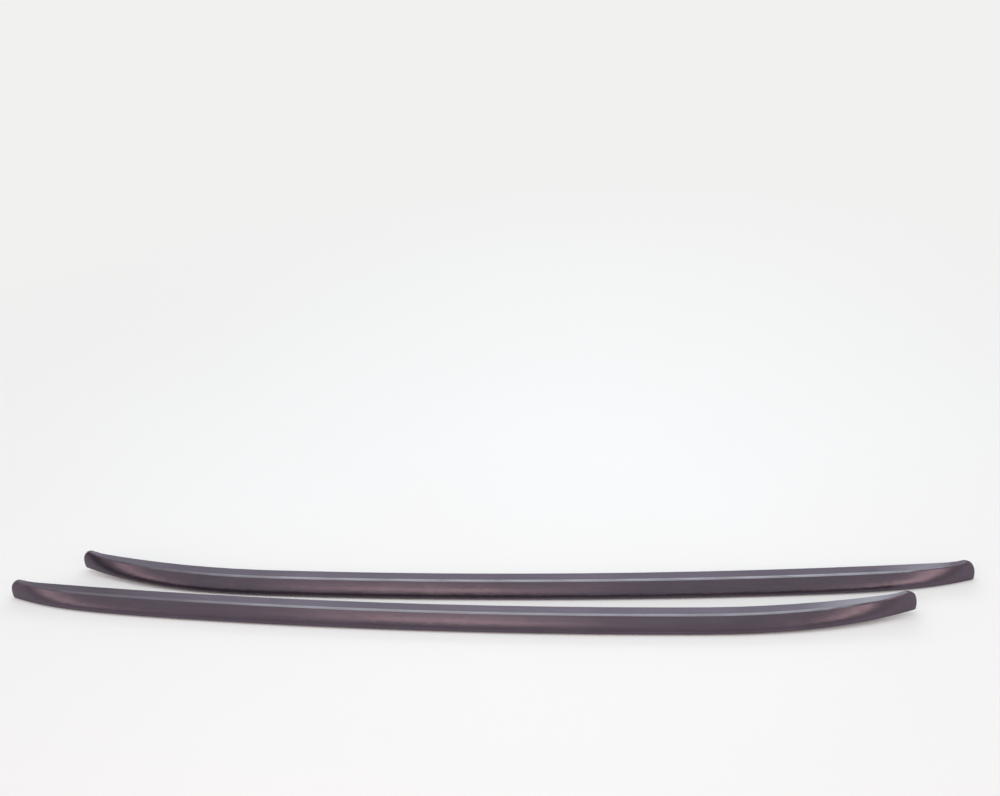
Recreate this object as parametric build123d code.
from build123d import *
from math import atan, cos, degrees, pi
import os

# Pair of roof side rails, laid down as a set: two mirror-image bowed rails with their seals and fixings.
# One left rail is drawn upright, front end to +X, outboard to +Y, then laid on its inboard wall.

# rail length and section
rail_length = 1824.0
foot_width = 39.0
ridge_inset = 5.8
ridge_height = 16.5
ridge_round = 2.5
crest_height = 37.3
crest_inset = 5.2
crest_round = 9.1
face_start = 12.6
face_end = 6.8
metal = 2.6
foot_metal = 3.0

# bow of the foot over the roof, and the front end that falls and flares with the roof edge
roof_sag = 42.0
front_bend = 410.0
front_drop = 29.0
front_flare = 10.0

# low noses at both ends
nose_height = 7.6
front_taper = 447.0
front_fullness = 4.1
rear_taper = 419.0
rear_fullness = 4.9
nose_round = 28.0
nose_fullness = 0.66
nose_overhang = 1.5
nose_flat = 17.0
nose_corner = 6.0
nose_spread = 7.0
spread_length = 50.0
facet_run_out = 110.0
facet_left = 0.3
nose_edge = 0.9
front_solid = 110.0
rear_solid = 90.0
sections = 24

# seal round the foot
gasket_inset = 1.5
gasket_band = 5.0
gasket_thickness = 3.0

# five fixing points: blind rivet nut, stud, standoff washer and sealing ring
fixing_count = 5
fixing_inset = 172.0
stud_radius = 3.0
stud_reach = 22.0
stud_grip = 11.0
stud_chamfer = 1.0
stud_neck_radius = 2.5
stud_neck_margin = 0.5
thread_clearance = 0.03
nut_radius = 4.5
nut_length = 13.0
nut_flange_radius = 6.5
nut_flange = 1.2
nut_bulge_radius = 6.0
nut_bulge = 2.5
nut_clearance = 0.05
washer_radius = 7.5
washer_thickness = 1.8
washer_clearance = 0.2
ring_radius = 11.5
ring_thickness = 4.0
seat_clearance = 0.03

# how the pair lies on the floor
chord_turn = 1.18
stagger = 62.7
row_gap = 52.8

half = rail_length / 2
side = foot_width / 2
wall_top = crest_height - crest_round
slope = 0.7071


def front_part(x):
    """0 over most of the rail, growing to 1 at the front tip."""
    return max(0.0, 1 - (half - x) / front_bend) ** 2


def line_y(x):
    """Sideways place of the middle of the foot."""
    return front_flare * front_part(x)


def line_z(x):
    """Height of the foot, which follows the roof."""
    return -roof_sag * (x / half) ** 2 - front_drop * front_part(x)


def spread(x):
    """Widening of the section toward the outboard side, where the ends are pressed flat."""
    near = max(0.0, 1 - (half - abs(x)) / spread_length)
    return nose_spread * near * near * (3 - 2 * near)


def edge_y(x):
    """Sideways place of the outboard edge of the foot."""
    return line_y(x) + side + spread(x)


def facet_inset(x):
    """Inset of the ridge, which runs out toward the edge at both noses and ends the facet there."""
    near = max(0.0, 1 - (half - abs(x)) / facet_run_out)
    return ridge_inset * (1 - (1 - facet_left) * near * near * (3 - 2 * near))


def height_ratio(x):
    """Height of the section, 1 in the middle and low at the noses."""
    front = 1 - max(0.0, 1 - (half - x) / front_taper) ** front_fullness
    rear = 1 - max(0.0, 1 - (half + x) / rear_taper) ** rear_fullness
    low = nose_height / crest_height
    return low + (1 - low) * front * rear


def station(x):
    """Maps a point of the section to its place on the rail."""
    ratio = height_ratio(x)
    widen = 1 + spread(x) / foot_width
    return lambda y, z: (x, line_y(x) - side + (side + y) * widen, line_z(x) + z * ratio)


def rail_section(x):
    """Outer section: foot, outboard facet, ridge, broad convex face, crest and plain inboard wall."""
    at = station(x)
    inset = facet_inset(x)
    ridge_y = side - inset
    facet = ridge_round / ridge_height
    low = (ridge_y + inset * facet, ridge_height - ridge_round)
    high = (ridge_y - ridge_round * slope, ridge_height + ridge_round * slope)
    crest_y = crest_inset - side
    return Wire([
        Line(at(-side, 0), at(side, 0)),
        Line(at(side, 0), at(*low)),
        Bezier(at(*low), at(ridge_y, ridge_height), at(*high)),
        Bezier(
            at(*high),
            at(ridge_y - face_start * slope, ridge_height + face_start * slope),
            at(crest_y + face_end, crest_height),
            at(crest_y, crest_height),
        ),
        Bezier(at(crest_y, crest_height), at(-side, crest_height), at(-side, wall_top)),
        Line(at(-side, wall_top), at(-side, 0)),
    ])


def hollow_section(x):
    """Inner section, one wall thickness inside the outer one, over a flat foot."""
    at = station(x)
    floor = foot_metal / height_ratio(x)
    ridge_y = side - ridge_inset - 0.9 * metal
    ridge_z = ridge_height - 0.5 * metal
    crest_y = crest_inset - side
    top = crest_height - metal
    inboard = metal - side
    outboard = side - 1.06 * metal - ridge_inset * floor / ridge_height
    return Wire([
        Line(at(inboard, floor), at(outboard, floor)),
        Line(at(outboard, floor), at(ridge_y, ridge_z)),
        Bezier(
            at(ridge_y, ridge_z),
            at(ridge_y - face_start * slope, ridge_z + face_start * slope),
            at(crest_y + face_end, top),
            at(crest_y, top),
        ),
        Bezier(at(crest_y, top), at(inboard, top), at(inboard, wall_top)),
        Line(at(inboard, wall_top), at(inboard, floor)),
    ])


def slab_section(x):
    """A flat band that reaches from the foot metal down to the underside of the gasket."""
    top = line_z(x) + foot_metal / 2
    low = line_z(x) - gasket_thickness
    y0 = line_y(x) - side
    y1 = edge_y(x)
    return Wire.make_polygon([(x, y0, top), (x, y1, top), (x, y1, low), (x, y0, low)])


def stations(rear, front):
    """Places along the rail, closer together toward both ends."""
    middle = (front + rear) / 2
    reach = (front - rear) / 2
    return [middle - reach * cos(pi * i / sections) for i in range(sections + 1)]


def nose(tip, toward, edge, end):
    """Plan curves of one nose: a big round outboard and a small one inboard."""
    x = tip - toward * end
    begin = x - toward * nose_round
    outboard = edge_y(begin) - edge
    inboard = line_y(tip) - side + edge
    start = (begin, outboard)
    flat = inboard + nose_flat
    big = Bezier(
        start,
        (x - toward * nose_round * (1 - nose_fullness), outboard),
        (x, flat + (outboard - flat) * nose_fullness),
        (x, flat),
    )
    small = Bezier((x, flat), (x, inboard), (x - toward * nose_corner, inboard))
    return start, [big, small], (x - toward * nose_corner, inboard)


def plan_prism(edge, end):
    """Upright prism over the plan outline of the rail, its sides and its ends set in by two amounts."""
    front_start, front_curves, front_stop = nose(half, 1, edge, end)
    rear_start, rear_curves, rear_stop = nose(-half, -1, edge, end)
    span = stations(rear_start[0], front_start[0])[1:-1]
    outboard = [rear_start] + [(x, edge_y(x) - edge) for x in span] + [front_start]
    inboard = [front_stop] + [(x, line_y(x) - side + edge) for x in reversed(span)] + [rear_stop]
    outline = make_face([Spline(*outboard), *front_curves, Spline(*inboard), *rear_curves])
    depth = roof_sag + front_drop + crest_height
    return Pos(0, 0, -2 * depth) * extrude(outline, 4 * depth)


def ring(outer, inner, low, high):
    """A plain turned ring round the fixing axis."""
    body = Pos(0, 0, low) * Cylinder(outer, high - low, align=(Align.CENTER, Align.CENTER, Align.MIN))
    bore = Pos(0, 0, low) * Cylinder(inner, high - low, align=(Align.CENTER, Align.CENTER, Align.MIN))
    return body - bore


def rod(radius, low, high):
    """A plain round rod on the fixing axis."""
    return Pos(0, 0, low) * Cylinder(radius, high - low, align=(Align.CENTER, Align.CENTER, Align.MIN))


def rivet_nut():
    """Flange under the foot, threaded barrel in the hole and the set bulge above the foot metal."""
    barrel = rod(nut_radius, -nut_flange, nut_length)
    flange = rod(nut_flange_radius, -nut_flange, -seat_clearance)
    bulge = rod(nut_bulge_radius, foot_metal + seat_clearance, foot_metal + nut_bulge)
    bore = rod(stud_radius + thread_clearance, -nut_flange, nut_length)
    return barrel + flange + bulge - bore


def stud():
    """Stud with two threaded ends and a neck: one end in the rivet nut, the free one pointing to the roof."""
    shank = chamfer(rod(stud_radius, -stud_reach, stud_grip).edges(), stud_chamfer)
    neck_end = ring_thickness + stud_neck_margin
    return shank - ring(stud_radius, stud_neck_radius, -neck_end, -nut_flange)


def standoff_washer():
    """Washer under the rivet nut that sets the height of the rail over the roof."""
    high = -nut_flange
    return ring(washer_radius, stud_radius + washer_clearance, high - washer_thickness, high)


def sealing_ring():
    """Soft ring round the washer that keeps water out of the roof hole."""
    return ring(ring_radius, washer_radius, -ring_thickness, -seat_clearance)


def fixing_places():
    """Location of each fixing point, square to the foot there."""
    places = []
    for i in range(fixing_count):
        x = (rail_length - 2 * fixing_inset) * (i / (fixing_count - 1) - 0.5)
        fall = (line_z(x - 1) - line_z(x + 1)) / 2
        places.append(Pos(x, line_y(x), line_z(x)) * Rot(0, degrees(atan(fall)), 0))
    return places


def nose_rims(body):
    """Edges where the end walls of the noses run into the face."""
    rims = body.edges().filter_by(lambda e: abs(e.center().X) > half - 2 * nose_round)
    rims = rims.filter_by(lambda e: e.bounding_box().size.Z < 0.6 * e.length)
    return rims.filter_by(lambda e: e.center().Z > line_z(e.center().X) + 0.2 * nose_height)


def skin():
    """The outer form of the rail, not yet trimmed at the noses."""
    return Solid.make_loft([rail_section(x) for x in stations(-half, half)])


def rail():
    """The rail: lofted skin, rounded noses, hollow middle and a hole for each rivet nut."""
    hollow = Solid.make_loft([hollow_section(x) for x in stations(rear_solid - half, half - front_solid)])
    body = skin() & plan_prism(-nose_overhang, 0)
    body = fillet(nose_rims(body), nose_edge)
    body = body - hollow
    hole = rod(nut_radius + nut_clearance, -foot_metal, 2 * foot_metal)
    for place in fixing_places():
        body = body - place * hole
    return body


def gasket():
    """Closed loop of rubber that seats on the underside of the foot."""
    slab = Solid.make_loft([slab_section(x) for x in stations(-half, half)])
    inner = gasket_inset + gasket_band
    return (slab & (plan_prism(gasket_inset, gasket_inset) - plan_prism(inner, inner))) - skin()


def rail_pieces():
    """Every piece of the left rail, upright, by name."""
    places = fixing_places()
    pieces = {
        "rail": rail(),
        "base_gasket": gasket(),
        "rivet_nuts": Compound([place * rivet_nut() for place in places]),
        "studs": Compound([place * stud() for place in places]),
    }
    for i, place in enumerate(places):
        pieces[f"standoff_washer_{i + 1}"] = place * standoff_washer()
        pieces[f"sealing_ring_{i + 1}"] = place * sealing_ring()
    return pieces


def lay(pieces, spin, shift_x, shift_y):
    """Turns every piece of one rail together and sets the rail down on the floor."""
    turned = {name: spin * piece for name, piece in pieces.items()}
    floor = turned["rail"].bounding_box().min.Z
    return {name: Pos(shift_x, shift_y, -floor) * piece for name, piece in turned.items()}


upright = rail_pieces()
mirrored = {name: mirror(piece, Plane.YZ) for name, piece in upright.items()}
left_spin = Rot(0, 0, -chord_turn) * Rot(90, 0, 0)
right_spin = Rot(0, 0, chord_turn) * Rot(90, 0, 0)
left = lay(upright, left_spin, -stagger, -row_gap)
right = lay(mirrored, right_spin, stagger, row_gap)
pair = Compound([*left.values(), *right.values()]).bounding_box().center()

os.makedirs("parts", exist_ok=True)
for hand, pieces in (("left", left), ("right", right)):
    for name, piece in pieces.items():
        export_step(Pos(-pair.X, -pair.Y, 0) * piece, f"parts/{hand}_{name}.step")
